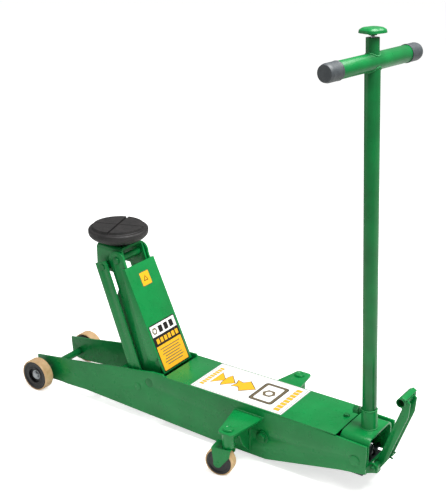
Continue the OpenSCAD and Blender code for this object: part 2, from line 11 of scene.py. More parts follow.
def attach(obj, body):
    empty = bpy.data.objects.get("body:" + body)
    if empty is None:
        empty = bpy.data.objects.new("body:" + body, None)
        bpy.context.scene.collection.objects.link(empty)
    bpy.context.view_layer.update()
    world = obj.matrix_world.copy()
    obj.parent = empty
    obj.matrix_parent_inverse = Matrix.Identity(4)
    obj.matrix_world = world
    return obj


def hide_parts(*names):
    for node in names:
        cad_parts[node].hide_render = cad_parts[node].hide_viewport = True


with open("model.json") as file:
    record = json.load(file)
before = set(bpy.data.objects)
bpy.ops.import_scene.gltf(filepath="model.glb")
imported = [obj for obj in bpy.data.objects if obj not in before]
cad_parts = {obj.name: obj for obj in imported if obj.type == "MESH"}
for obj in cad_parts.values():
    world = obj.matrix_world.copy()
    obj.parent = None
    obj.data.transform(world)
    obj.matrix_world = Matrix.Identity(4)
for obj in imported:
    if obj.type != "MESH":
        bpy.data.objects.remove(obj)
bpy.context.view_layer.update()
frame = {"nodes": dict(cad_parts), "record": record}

bl_info = {
    "name": "Trolley Jack Looks",
    "version": (1, 0, 0),
    "blender": (4, 5, 0),
    "location": "View3D > Sidebar > Jack",
    "description": "Builds the painted, rubber and printed pieces of a trolley jack on its CAD frame",
    "category": "Object",
}

# ---- places, in the jack's own millimetres: X from the front tips, Z from the floor ----

MM = 0.001
MID = 562.62  # the row frame's origin along X
AXLE = (49.0, 44.0)  # front axle, X and Z
ARM_PIVOT = (419.0, 114.0)
ARM_ANGLE = 69.4
ARM_LEN = 327.0
SADDLE_X = 271.0
TOP_PIVOT = (ARM_PIVOT[0] - ARM_LEN * math.cos(math.radians(ARM_ANGLE)),
             ARM_PIVOT[1] + ARM_LEN * math.sin(math.radians(ARM_ANGLE)))
YOKE = (1015.5, 93.5)
HANDLE_LEAN = 2.7
TBAR_RISE = 899.0
TBAR_TURN = 8.0
CASTER = (729.0, 166.0)
CASTER_TURN = 10.0
CASTER_TRAIL = 20.0
PEDAL = (1050.0, 70.0)
PEDAL_LEAN = 19.3
COVER_TOP = 146.0
COVER_PLUG = (946.0, 14.0)  # X and Y
UNIT_BOLT = (767.0, 75.0, 72.0)  # X, half width and Z
ROD_EYE = (-38.0, -22.0)  # the rods' upper bolts, X and Z from the arm's top pivot
GRIP_END = 165.0  # half the T-bar
TYRE_DEPTH = 4.0
SHARP_ANGLE = 32.0  # degrees; flatter edges than this are shaded smooth

# ---- camera, floor and lamps ----

CAMERA_AT = (1917.3, -1924.1, 1382.8)
CAMERA_LOOK = (-0.5282, 0.7715, -0.3545)
CAMERA_LENS = 73.62
CAMERA_SHIFT = -0.0052
FLOOR_HALF = 12.0  # metres
FLOOR_GLOW = 0.66
TOP_SOFTBOX = ((0.9, 0.2, 2.6), (0.0, 0.0, 0.2), 1.8)  # place, aim and diameter in metres
FRONT_FILL = ((-2.2, -1.6, 1.3), (0.0, 0.0, 0.3), 1.6)


def at(x, y, z):
    """A point of the jack's own drawing, in metres in the row frame."""
    return Vector(((x - MID) * MM, y * MM, z * MM))


def turn_by(angle, axis):
    """A turn of that many degrees about an axis."""
    return Matrix.Rotation(math.radians(angle), 4, axis)


def frame_at(x, y, z, lean=0.0, turn=0.0):
    """A local millimetre frame at a point, leaned about Y and turned about Z."""
    spin = turn_by(turn, "Z") @ turn_by(lean, "Y")
    return Matrix.Translation(at(x, y, z)) @ spin @ Matrix.Scale(MM, 4)


ON_ARM = frame_at(ARM_PIVOT[0], 0, ARM_PIVOT[1], lean=-(90 - ARM_ANGLE))
ON_HANDLE = frame_at(YOKE[0], 0, YOKE[1], lean=-HANDLE_LEAN)
ON_PEDAL = frame_at(PEDAL[0], 0, PEDAL[1], lean=PEDAL_LEAN)
WEB_LEAN = math.degrees(math.atan2(21, 288))
WEB_FACE = 48 * math.cos(math.radians(WEB_LEAN)) + 14 * math.sin(math.radians(WEB_LEAN))
ON_WEB = ON_ARM @ turn_by(-WEB_LEAN, "Y") @ Matrix.Translation((WEB_FACE, 0, 0))


def on_caster(side):
    """The caster's own millimetre frame; side is -1 near and 1 far."""
    return frame_at(CASTER[0], side * CASTER[1], 0, turn=-side * CASTER_TURN)


# ---- colours and nodes ----


def linear(hex_colour):
    """An sRGB hex colour as linear RGBA."""
    parts = [int(hex_colour[i : i + 2], 16) / 255 for i in (1, 3, 5)]
    return tuple(c / 12.92 if c <= 0.04045 else ((c + 0.055) / 1.055) ** 2.4 for c in parts) + (1.0,)


def colour(value):
    """A hex string or a colour setting as linear RGBA."""
    return linear(value) if isinstance(value, str) else tuple(value) + (1.0,)


def add(tree, kind, **values):
    """A new node; each value sets a property of that name or the input socket of that name."""
    node = tree.nodes.new(kind)
    for key, value in values.items():
        if hasattr(node, key):
            setattr(node, key, value)
        else:
            node.inputs[key.replace("_", " ")].default_value = value
    return node


def join(tree, *links):
    """Links (node, output, node, input), with sockets by name or number."""
    for source, output, target, given in links:
        tree.links.new(source.outputs[output], target.inputs[given])


def per_mm(size):
    """The noise scale that gives features of this many millimetres."""
    return 1000.0 / size


def blank(name):
    """A material with only a Principled shader, its tree, the shader and the object coordinates."""
    found = bpy.data.materials.get(name)
    if found:
        return found, None, None, None
    mat = bpy.data.materials.new(name)
    mat.use_nodes = True
    tree = mat.node_tree
    tree.nodes.clear()
    shader = add(tree, "ShaderNodeBsdfPrincipled")
    output = add(tree, "ShaderNodeOutputMaterial")
    tree.links.new(shader.outputs["BSDF"], output.inputs["Surface"])
    coords = add(tree, "ShaderNodeTexCoord").outputs["Object"]
    return mat, tree, shader, coords


def vary(tree, coords, size, low, high, socket, detail=3.0):
    """Drives a value socket between low and high with noise of that many millimetres."""
    noise = add(tree, "ShaderNodeTexNoise", Scale=per_mm(size), Detail=detail)
    span = add(tree, "ShaderNodeMapRange", From_Min=0.3, From_Max=0.7, To_Min=low, To_Max=high)
    tree.links.new(coords, noise.inputs["Vector"])
    tree.links.new(noise.outputs["Fac"], span.inputs["Value"])
    tree.links.new(span.outputs["Result"], socket)
    return noise


def tint(tree, coords, size, first, second, socket):
    """Mixes two colours over noise of that many millimetres into a colour socket."""
    noise = add(tree, "ShaderNodeTexNoise", Scale=per_mm(size), Detail=4.0)
    ramp = add(tree, "ShaderNodeValToRGB")
    ramp.color_ramp.elements[0].position = 0.35
    ramp.color_ramp.elements[0].color = colour(first)
    ramp.color_ramp.elements[1].position = 0.65
    ramp.color_ramp.elements[1].color = colour(second)
    tree.links.new(coords, noise.inputs["Vector"])
    tree.links.new(noise.outputs["Fac"], ramp.inputs["Fac"])
    tree.links.new(ramp.outputs["Color"], socket)


def relief(tree, coords, shader, size, height_mm, strength=0.5):
    """A small bump: noise of that many millimetres, that many millimetres high."""
    noise = add(tree, "ShaderNodeTexNoise", Scale=per_mm(size), Detail=2.0)
    bump = add(tree, "ShaderNodeBump", Strength=strength, Distance=height_mm * MM)
    tree.links.new(coords, noise.inputs["Vector"])
    tree.links.new(noise.outputs["Fac"], bump.inputs["Height"])
    tree.links.new(bump.outputs["Normal"], shader.inputs["Normal"])


def enamel(name, first, second, roughness):
    """Sprayed enamel: two close greens under a thin clear layer."""
    mat, tree, shader, coords = blank(name)
    if tree is None:
        return mat
    # two close greens over 90 mm patches: sprayed paint is never one even colour
    tint(tree, coords, 90, first, second, shader.inputs["Base Color"])
    # the gloss drifts over 25 mm, which breaks up long highlights on the plates
    vary(tree, coords, 25, roughness * 0.8, roughness * 1.25, shader.inputs["Roughness"])
    # orange peel: 2.5 mm ripples in the sprayed coat, seen only in highlights
    relief(tree, coords, shader, 2.5, 0.02, 0.35)
    # a clear top layer gives the sharp highlight over a softer one
    shader.inputs["Coat Weight"].default_value = 0.1
    shader.inputs["Coat Roughness"].default_value = 0.15
    shader.inputs["Specular IOR Level"].default_value = 0.3
    return mat


def green_enamel():
    """Gloss green enamel over sheet steel."""
    looks = bpy.context.scene.jack_colours
    return enamel("Green enamel on sheet steel", looks.paint, looks.paint_light, 0.3)


def dark_enamel():
    """The same enamel laid thin on the turned and welded pieces."""
    looks = bpy.context.scene.jack_colours
    return enamel("Green enamel on tube", looks.paint_tube, looks.paint, 0.34)


def bead_enamel():
    """Green enamel over weld metal: rougher, with the paint thin on the crests."""
    mat, tree, shader, coords = blank("Green enamel on weld bead")
    if tree is None:
        return mat
    looks = bpy.context.scene.jack_colours
    # thin paint on the crests shows a little lighter, in 2 mm spots
    tint(tree, coords, 2, looks.paint, looks.paint_light, shader.inputs["Base Color"])
    shader.inputs["Roughness"].default_value = 0.42
    relief(tree, coords, shader, 1.2, 0.12, 0.5)
    return mat


def metal(name, first, second, rough_low, rough_high, size=6.0):
    """A bare or plated metal in two close tones."""
    mat, tree, shader, coords = blank(name)
    if tree is None:
        return mat
    shader.inputs["Metallic"].default_value = 1.0
    # plating and cut marks differ a little in colour from place to place
    tint(tree, coords, size * 2, first, second, shader.inputs["Base Color"])
    # fine changes of roughness make a machined face shimmer instead of looking like chrome
    vary(tree, coords, size, rough_low, rough_high, shader.inputs["Roughness"])
    relief(tree, coords, shader, 0.8, 0.02, 0.3)
    return mat


def zinc():
    """Zinc-plated fasteners and pins: bright, slightly blue, softly blurred reflections."""
    return metal("Zinc plated steel", "#a9adb0", "#8f9598", 0.28, 0.42)


def ground_steel():
    """Ground and chromed ram and plungers: smoother than the fasteners."""
    return metal("Ground steel rod", "#c3c6c8", "#b2b6b9", 0.12, 0.2, 10.0)


def black_oxide():
    """Blackened bolts under a film of oil: dark metal with soft highlights."""
    return metal("Blackened steel", "#3a3d40", "#2a2c2f", 0.35, 0.5)


def casting():
    """A sand-cast block, machined and painted dark: dull with a 1.5 mm grain."""
    mat, tree, shader, coords = blank("Dark painted casting")
    if tree is None:
        return mat
    tint(tree, coords, 12, "#22272a", "#33393c", shader.inputs["Base Color"])
    vary(tree, coords, 8, 0.45, 0.65, shader.inputs["Roughness"])
    # the grain of the sand mould under the paint
    relief(tree, coords, shader, 1.5, 0.15, 0.6)
    return mat


def rubber():
    """Moulded black rubber gone slightly grey: matt, with a fine pebble."""
    mat, tree, shader, coords = blank("Moulded black rubber")
    if tree is None:
        return mat
    looks = bpy.context.scene.jack_colours
    # bloom on the rubber lifts it to a warm grey in 20 mm clouds
    tint(tree, coords, 20, looks.rubber, looks.rubber_worn, shader.inputs["Base Color"])
    vary(tree, coords, 6, 0.5, 0.68, shader.inputs["Roughness"])
    relief(tree, coords, shader, 0.9, 0.05, 0.5)
    return mat


def tread():
    """Cast polyurethane tyre: tan, slightly waxy, light passing a little way in."""
    mat, tree, shader, coords = blank("Tan polyurethane tread")
    if tree is None:
        return mat
    looks = bpy.context.scene.jack_colours
    # road dust darkens the tyre a little in 15 mm patches
    tint(tree, coords, 15, looks.tread, looks.tread_dusty, shader.inputs["Base Color"])
    vary(tree, coords, 5, 0.38, 0.55, shader.inputs["Roughness"])
    # 1 mm of scattering gives the soft edge of a cast resin
    shader.inputs["Subsurface Weight"].default_value = 0.15
    shader.inputs["Subsurface Radius"].default_value = (0.001, 0.0007, 0.0004)
    relief(tree, coords, shader, 1.2, 0.03, 0.3)
    return mat


def plastic(name, first, second, low, high):
    """A moulded plastic or satin paint in two close tones."""
    mat, tree, shader, coords = blank(name)
    if tree is None:
        return mat
    tint(tree, coords, 10, first, second, shader.inputs["Base Color"])
    vary(tree, coords, 4, low, high, shader.inputs["Roughness"])
    # a spark-eroded mould leaves a grain under a millimetre across
    relief(tree, coords, shader, 0.7, 0.03, 0.35)
    return mat


def hub_plastic():
    """Black nylon hub: a soft sheen."""
    return plastic("Black nylon hub", "#0d0d0f", "#151517", 0.3, 0.42)


def cap_plastic():
    """Dark grey grip cap: matt."""
    return plastic("Dark grey moulded plastic", "#3a3f42", "#44494c", 0.42, 0.55)


def cup_paint():
    """Satin black paint on the pressed cup below the pad."""
    return plastic("Satin black paint", "#17181a", "#1f2022", 0.32, 0.45)


def print_film(name, ink):
    """Printed vinyl: flat colour under a clear, even gloss."""
    mat, tree, shader, coords = blank(name)
    if tree is None:
        return mat
    shader.inputs["Base Color"].default_value = colour(ink)
    vary(tree, coords, 30, 0.28, 0.36, shader.inputs["Roughness"])
    return mat


# ---- mesh making ----


def rounded(points, radius, steps=4, closed=True):
    """The outline with each corner cut back by up to radius and rounded."""
    out = []
    count = len(points)
    for i, point in enumerate(points):
        if not closed and i in (0, count - 1):
            out.append(tuple(point))
            continue
        p = Vector(point)
        before = Vector(points[i - 1]) - p
        after = Vector(points[(i + 1) % count]) - p
        cut = min(radius, before.length * 0.45, after.length * 0.45)
        if cut < 1e-4 or before.length < 1e-6 or after.length < 1e-6:
            out.append(tuple(point))
            continue
        a = p + before.normalized() * cut
        b = p + after.normalized() * cut
        for k in range(steps + 1):
            t = k / steps
            out.append(tuple(a * (1 - t) ** 2 + p * 2 * t * (1 - t) + b * t**2))
    return out


def eased(outline, radius, steps):
    """An open profile with its inner corners rounded and both end points kept."""
    return [outline[0]] + rounded(outline[1:-1], radius, steps, closed=False) + [outline[-1]]


def lathe(bm, place, profile, segments=64, mats=None, closed=True, shape=None):
    """Revolves (radius, height) points about the Z of place; shape(angle) scales the radius."""
    rings = []
    for r, h in profile:
        if r < 1e-6:
            rings.append([bm.verts.new(place @ Vector((0, 0, h)))])
            continue
        ring = []
        for k in range(segments):
            a = 2 * math.pi * k / segments
            s = r * (shape(a) if shape else 1.0)
            ring.append(bm.verts.new(place @ Vector((s * math.cos(a), s * math.sin(a), h))))
        rings.append(ring)
    last = len(rings) if closed else len(rings) - 1
    for i in range(last):
        a, b = rings[i], rings[(i + 1) % len(rings)]
        for k in range(segments):
            j = (k + 1) % segments
            corners = list(dict.fromkeys([a[k % len(a)], a[j % len(a)], b[j % len(b)], b[k % len(b)]]))
            if len(corners) > 2:
                face = bm.faces.new(corners)
                face.material_index = mats(i) if mats else 0


def prism(bm, place, outline, low, high, index=0):
    """An outline in the local X and Y, closed from local Z low to high."""
    bottom = [bm.verts.new(place @ Vector((x, y, low))) for x, y in outline]
    top = [bm.verts.new(place @ Vector((x, y, high))) for x, y in outline]
    count = len(outline)
    faces = [bm.faces.new(bottom), bm.faces.new(top)]
    for i in range(count):
        j = (i + 1) % count
        faces.append(bm.faces.new([bottom[i], bottom[j], top[j], top[i]]))
    for face in faces:
        face.material_index = index


def hex_head(bm, place, across, height, index=0):
    """A hexagon head with its corners chamfered at the top, standing on local Z 0."""
    corner = across / math.cos(math.radians(30)) / 2
    steps = 48

    def edge(angle):
        part = (angle + math.pi / 6) % (math.pi / 3) - math.pi / 6
        return across / 2 / math.cos(part)

    rings = []
    for level in range(4):
        ring = []
        for k in range(steps):
            a = 2 * math.pi * k / steps
            r = edge(a)
            drop = (r - across / 2) / (corner - across / 2) * height * 0.2
            if level == 0:
                point = (r, 0.0)
            elif level == 1:
                point = (r, height - drop)
            elif level == 2:
                point = (across / 2 * 0.97, height)
            else:
                point = (across / 2 * 0.6, height - 0.3)
            spot = Vector((point[0] * math.cos(a), point[0] * math.sin(a), point[1]))
            ring.append(bm.verts.new(place @ spot))
        rings.append(ring)
    faces = [bm.faces.new(rings[0]), bm.faces.new(rings[3])]
    for i in range(3):
        for k in range(steps):
            j = (k + 1) % steps
            faces.append(bm.faces.new([rings[i][k], rings[i][j], rings[i + 1][j], rings[i + 1][k]]))
    for face in faces:
        face.material_index = index


def disc(bm, place, radius, low, high, bore=0.0, index=0, edge=0.6, segments=48):
    """A washer, pin or disc with rounded edges."""
    outline = [(bore, low), (radius, low), (radius, high), (bore, high)]
    lathe(bm, place, rounded(outline, edge, 3), segments, mats=lambda i: index)


def keep(name, mesh, body, covers=()):
    """Links a finished mesh, rides it on a body and lets it stand for CAD nodes."""
    obj = bpy.data.objects.new(name, mesh)
    bpy.context.scene.collection.objects.link(obj)
    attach(obj, body)
    if covers:
        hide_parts(*covers)
    return obj


def evaluated_mesh(obj):
    """The object's mesh with its modifiers applied."""
    bpy.context.view_layer.update()
    graph = bpy.context.evaluated_depsgraph_get()
    return bpy.data.meshes.new_from_object(obj.evaluated_get(graph), depsgraph=graph)


def piece(name, bm, mats, body, covers=(), sharp=SHARP_ANGLE):
    """Turns a bmesh into a finished piece that rides on a body and may stand for CAD nodes."""
    bmesh.ops.recalc_face_normals(bm, faces=bm.faces)
    mesh = bpy.data.meshes.new(name)
    bm.to_mesh(mesh)
    bm.free()
    for mat in mats:
        mesh.materials.append(mat)
    for polygon in mesh.polygons:
        polygon.use_smooth = True
    mesh.set_sharp_from_angle(angle=math.radians(sharp))
    return keep(name, mesh, body, covers)


def body_of(node):
    """The CAD body that holds a node."""
    for body, nodes in frame["record"]["behaviour"]["bodies"].items():
        if node in nodes:
            return body
    raise RuntimeError("no body holds the node " + node)


def skin(node, mat, bevel=0.6):
    """A copy of a CAD node with its edges broken and its curved faces smooth."""
    bm = bmesh.new()
    bm.from_mesh(frame["nodes"][node].data)
    bmesh.ops.remove_doubles(bm, verts=bm.verts, dist=2e-6)
    bmesh.ops.dissolve_limit(bm, angle_limit=math.radians(1.0), verts=bm.verts, edges=bm.edges)
    edges = [e for e in bm.edges if len(e.link_faces) == 2 and e.calc_face_angle(0.0) > math.radians(27)]
    if edges and bevel > 0:
        bmesh.ops.bevel(bm, geom=edges, offset=bevel * MM, offset_type="OFFSET", segments=2,
                        profile=0.5, affect="EDGES", clamp_overlap=True)
    return piece("skin_" + node, bm, [mat], body_of(node), [node])


# ---- geometry nodes ----


def group_inputs(group, wanted):
    """Adds the inputs (name, socket type, default) to a node group."""
    for name, kind, default in wanted:
        socket = group.interface.new_socket(name=name, in_out="INPUT", socket_type=kind)
        if default is not None:
            socket.default_value = default
    group.interface.new_socket(name="Geometry", in_out="OUTPUT", socket_type="NodeSocketGeometry")


def bead_group():
    """Lays overlapping drops of weld metal along an edge path."""
    name = "Weld bead along a path"
    if name in bpy.data.node_groups:
        return bpy.data.node_groups[name]
    group = bpy.data.node_groups.new(name, "GeometryNodeTree")
    group_inputs(group, [("Path", "NodeSocketGeometry", None), ("Pitch", "NodeSocketFloat", 0.0022),
                         ("Width", "NodeSocketFloat", 0.003), ("Seed", "NodeSocketInt", 7),
                         ("Material", "NodeSocketMaterial", None)])
    given = add(group, "NodeGroupInput")
    curve = add(group, "GeometryNodeMeshToCurve")
    points = add(group, "GeometryNodeCurveToPoints", mode="LENGTH")
    drop = add(group, "GeometryNodeMeshIcoSphere", Subdivisions=2, Radius=1.0)
    size = add(group, "FunctionNodeRandomValue", data_type="FLOAT")
    size.inputs[2].default_value = 0.85
    size.inputs[3].default_value = 1.12
    width = add(group, "ShaderNodeMath", operation="MULTIPLY")
    length = add(group, "ShaderNodeMath", operation="MULTIPLY")
    length.inputs[1].default_value = 1.15
    scale = add(group, "ShaderNodeCombineXYZ")
    laid = add(group, "GeometryNodeInstanceOnPoints")
    real = add(group, "GeometryNodeRealizeInstances")
    smooth = add(group, "GeometryNodeSetShadeSmooth")
    painted = add(group, "GeometryNodeSetMaterial")
    out = add(group, "NodeGroupOutput")
    join(group, (given, "Path", curve, "Mesh"), (curve, "Curve", points, "Curve"),
         (given, "Pitch", points, "Length"), (given, "Seed", size, "Seed"), (size, 1, width, 0),
         (given, "Width", width, 1), (given, "Pitch", length, 0), (width, 0, scale, "X"),
         (width, 0, scale, "Y"), (length, 0, scale, "Z"), (points, "Points", laid, "Points"),
         (points, "Rotation", laid, "Rotation"), (drop, "Mesh", laid, "Instance"),
         (scale, 0, laid, "Scale"), (laid, "Instances", real, "Geometry"),
         (real, "Geometry", smooth, "Geometry"), (smooth, "Geometry", painted, "Geometry"),
         (given, "Material", painted, "Material"), (painted, "Geometry", out, "Geometry"))
    return group


def coil_group():
    """Winds a round wire into a compression spring along local Z."""
    name = "Coil spring"
    if name in bpy.data.node_groups:
        return bpy.data.node_groups[name]
    group = bpy.data.node_groups.new(name, "GeometryNodeTree")
    group_inputs(group, [("Base", "NodeSocketGeometry", None), ("Turns", "NodeSocketFloat", 6.0),
                         ("Coil radius", "NodeSocketFloat", 0.01), ("Length", "NodeSocketFloat", 0.03),
                         ("Wire radius", "NodeSocketFloat", 0.0008),
                         ("Material", "NodeSocketMaterial", None)])
    given = add(group, "NodeGroupInput")
    spiral = add(group, "GeometryNodeCurveSpiral", Resolution=28)
    wire = add(group, "GeometryNodeCurvePrimitiveCircle", Resolution=10)
    swept = add(group, "GeometryNodeCurveToMesh", Fill_Caps=True)
    real = add(group, "GeometryNodeRealizeInstances")
    painted = add(group, "GeometryNodeSetMaterial")
    out = add(group, "NodeGroupOutput")
    join(group, (given, "Turns", spiral, "Rotations"), (given, "Coil radius", spiral, "Start Radius"),
         (given, "Coil radius", spiral, "End Radius"), (given, "Length", spiral, "Height"),
         (given, "Wire radius", wire, "Radius"), (spiral, "Curve", swept, "Curve"),
         (wire, "Curve", swept, "Profile Curve"), (swept, "Mesh", real, "Geometry"),
         (real, "Geometry", painted, "Geometry"), (given, "Material", painted, "Material"),
         (painted, "Geometry", out, "Geometry"))
    return group


def grown(name, source, group, values, place, body, covers=()):
    """Runs a node group over a source mesh and keeps the result as a plain piece."""
    carrier = bpy.data.objects.new(name + "_source", source)
    bpy.context.scene.collection.objects.link(carrier)
    modifier = carrier.modifiers.new("Grow", "NODES")
    modifier.node_group = group
    for item in group.interface.items_tree:
        if item.in_out == "INPUT" and item.name in values:
            modifier[item.identifier] = values[item.name]
    mesh = evaluated_mesh(carrier)
    bpy.data.objects.remove(carrier)
    if not mesh.polygons:
        raise RuntimeError("the node group made nothing for " + name)
    mesh.transform(place)
    mesh.name = name
    for polygon in mesh.polygons:
        polygon.use_smooth = True
    return keep(name, mesh, body, covers)


def path_mesh(name, paths):
    """A mesh of edges only, from lists of points in the row frame; a path may close on itself."""
    mesh = bpy.data.meshes.new(name)
    verts = []
    edges = []
    for points, closed in paths:
        start = len(verts)
        verts.extend(points)
        count = len(points)
        for k in range(count if closed else count - 1):
            edges.append((start + k, start + (k + 1) % count))
    mesh.from_pydata([tuple(v) for v in verts], edges, [])
    return mesh


def beads(name, paths, body, width):
    """Painted weld beads along paths."""
    values = {"Pitch": width * 0.75 * MM, "Width": width * MM, "Seed": 7, "Material": bead_enamel()}
    source = path_mesh(name + "_path", paths)
    return grown(name, source, bead_group(), values, Matrix.Identity(4), body)


def circle_path(place, radius, count=48):
    """Points of a circle about the local Z of place."""
    turns = [2 * math.pi * k / count for k in range(count)]
    return [place @ Vector((radius * math.cos(a), radius * math.sin(a), 0)) for a in turns]


def polygon_outline(x, y, radius, count):
    """The corners of an even polygon about a point."""
    turns = [math.radians(360 / count * k) for k in range(count)]
    return [(x + radius * math.cos(a), y + radius * math.sin(a)) for a in turns]


# ---- settings ----


def colour_setting(name, description, hex_colour):
    """A colour that a user can pick, given by its sRGB hex value."""
    return bpy.props.FloatVectorProperty(name=name, description=description, subtype="COLOR", size=3,
                                         min=0.0, max=1.0, default=linear(hex_colour)[:3])


class JackColours(bpy.types.PropertyGroup):
    """Colours that a user would change."""

    paint: colour_setting("Paint", "Main green of the enamel", "#067a39")
    paint_light: colour_setting("Light paint", "Lighter green of the enamel", "#0a8741")
    paint_tube: colour_setting("Tube paint", "Green on tubes and welds", "#07642f")
    rubber: colour_setting("Rubber", "Fresh rubber", "#161515")
    rubber_worn: colour_setting("Worn rubber", "Rubber with bloom", "#242121")
    tread: colour_setting("Tread", "Clean polyurethane", "#dcb98c")
    tread_dusty: colour_setting("Dusty tread", "Handled polyurethane", "#c9a374")
    gold: colour_setting("Print gold", "Gold of the printed labels", "#f2b31c")


class JackSizes(bpy.types.PropertyGroup):
    """Sizes of the fine detail."""

    edge: bpy.props.FloatProperty(name="Sheet edge", description="Break on sheet edges",
                                  default=0.0007, min=0.0, unit="LENGTH")
    weld: bpy.props.FloatProperty(name="Weld bead", description="Half width of a weld bead",
                                  default=0.0026, min=0.001, unit="LENGTH")
    lobes: bpy.props.IntProperty(name="Knob lobes", description="Lobes of the release knob",
                                 default=4, min=3, max=8)


class JackStage(bpy.types.PropertyGroup):
    """Light and background."""

    key: bpy.props.FloatProperty(name="Key light", description="Power of the large top light",
                                 default=105.0, subtype="POWER")
    fill: bpy.props.FloatProperty(name="Fill light", description="Power of the front fill",
                                  default=7.0, subtype="POWER")
    world: bpy.props.FloatProperty(name="Room light", description="Strength of the white room", default=0.36)


# ---- operators ----


class JACK_OT_chassis(bpy.types.Operator):
    """Side plates, cover, tubes and brackets in green enamel."""

    bl_idname = "jack.chassis"
    bl_label = "Chassis"

    def execute(self, context):
        edge = context.scene.jack_sizes.edge / MM
        for node in ("side_plates", "top_cover", "caster_brackets", "unit_clamp", "pedal_bracket"):
            skin(node, green_enamel(), edge)
        skin("cross_tubes", dark_enamel(), 0.5)
        return {"FINISHED"}


class JACK_OT_hydraulics(bpy.types.Operator):
    """Reservoir, cylinder, ram, pump block and valve."""

    bl_idname = "jack.hydraulics"
    bl_label = "Hydraulic unit"

    def execute(self, context):
        skin("reservoir", dark_enamel(), 1.0)
        for node in ("cylinder_gland", "crosshead", "pump_block"):
            skin(node, casting(), 1.0)
        for node in ("pump_barrels", "release_spindle", "pump_roller", "hand_plunger", "foot_plunger"):
            skin(node, black_oxide(), 0.3)
        skin("cylinder_tube", zinc(), 0.4)
        skin("ram", ground_steel(), 0.4)
        return {"FINISHED"}


class JACK_OT_springs(bpy.types.Operator):
    """The two plunger return springs, wound with geometry nodes."""

    bl_idname = "jack.springs"
    bl_label = "Springs"

    def execute(self, context):
        wanted = (("hand", 24.0, 71.5, 965.0, 1002.1, 10.7, 7.0),
                  ("foot", -20.0, 49.0, 1021.0, 1039.6, 6.95, 5.0))
        for name, y, z, x0, x1, radius, turns in wanted:
            place = Matrix.Translation(at(x0 + 0.8, y, z)) @ turn_by(90, "Y")
            values = {"Turns": turns, "Coil radius": radius * MM, "Length": (x1 - x0 - 1.6) * MM,
                      "Wire radius": 0.8 * MM, "Material": black_oxide()}
            source = bpy.data.meshes.new(name + "_base")
            node = name + "_plunger_spring"
            grown("coil_" + name, source, coil_group(), values, place, body_of(node), [node])
        return {"FINISHED"}


class JACK_OT_arm(bpy.types.Operator):
    """The lifting arm, its hub and the radius rods."""

    bl_idname = "jack.arm"
    bl_label = "Lift arm"

    def execute(self, context):
        edge = context.scene.jack_sizes.edge / MM
        for node in ("arm_channel", "arm_plates", "radius_rod_near", "radius_rod_far"):
            skin(node, green_enamel(), edge)
        skin("arm_hub", dark_enamel(), 0.8)
        for node in ("lever_pin", "saddle_pivot_pin", "arm_pivot_pin"):
            skin(node, dark_enamel() if node != "lever_pin" else zinc(), 0.8)
        return {"FINISHED"}


class JACK_OT_saddle(bpy.types.Operator):
    """The saddle bracket, cup and rubber pad."""

    bl_idname = "jack.saddle"
    bl_label = "Saddle"

    def execute(self, context):
        skin("saddle_bracket", green_enamel(), 0.7)
        skin("saddle_cup", cup_paint(), 0.8)
        top = TOP_PIVOT[1] + 78
        base = TOP_PIVOT[1] + 41.5
        place = frame_at(SADDLE_X, 0, 0)
        outline = [(0.0, base), (58.0, base), (71.0, base + 6), (77.0, base + 13), (78.0, base + 18),
                   (78.0, top - 10.5), (75.0, top - 7.2), (67.5, top - 7.2), (66.0, top), (0.0, top)]
        profile = eased(outline, 2.2, 5)
        bm = bmesh.new()
        lathe(bm, place, profile, 128, closed=False)
        pad = piece("saddle_pad_rubber", bm, [rubber()], body_of("saddle_pad"), ["saddle_pad"])
        cutter = bmesh.new()
        for turn, half, depth in ((18.0, 3.2, 5.0), (-70.0, 1.0, 2.5)):
            spin = place @ turn_by(turn, "Z")
            prism(cutter, spin, [(-half, -90), (half, -90), (half, 90), (-half, 90)], top - depth, top + 9)
        bmesh.ops.recalc_face_normals(cutter, faces=cutter.faces)
        tool_mesh = bpy.data.meshes.new("pad_grooves")
        cutter.to_mesh(tool_mesh)
        cutter.free()
        tool = bpy.data.objects.new("pad_grooves", tool_mesh)
        context.scene.collection.objects.link(tool)
        cut = pad.modifiers.new("Grooves", "BOOLEAN")
        cut.object = tool
        cut.operation = "DIFFERENCE"
        cut.solver = "EXACT"
        cut.use_self = True
        mesh = evaluated_mesh(pad)
        pad.modifiers.remove(cut)
        pad.data = mesh
        bpy.data.objects.remove(tool)
        mesh.set_sharp_from_angle(angle=math.radians(SHARP_ANGLE))
        return {"FINISHED"}


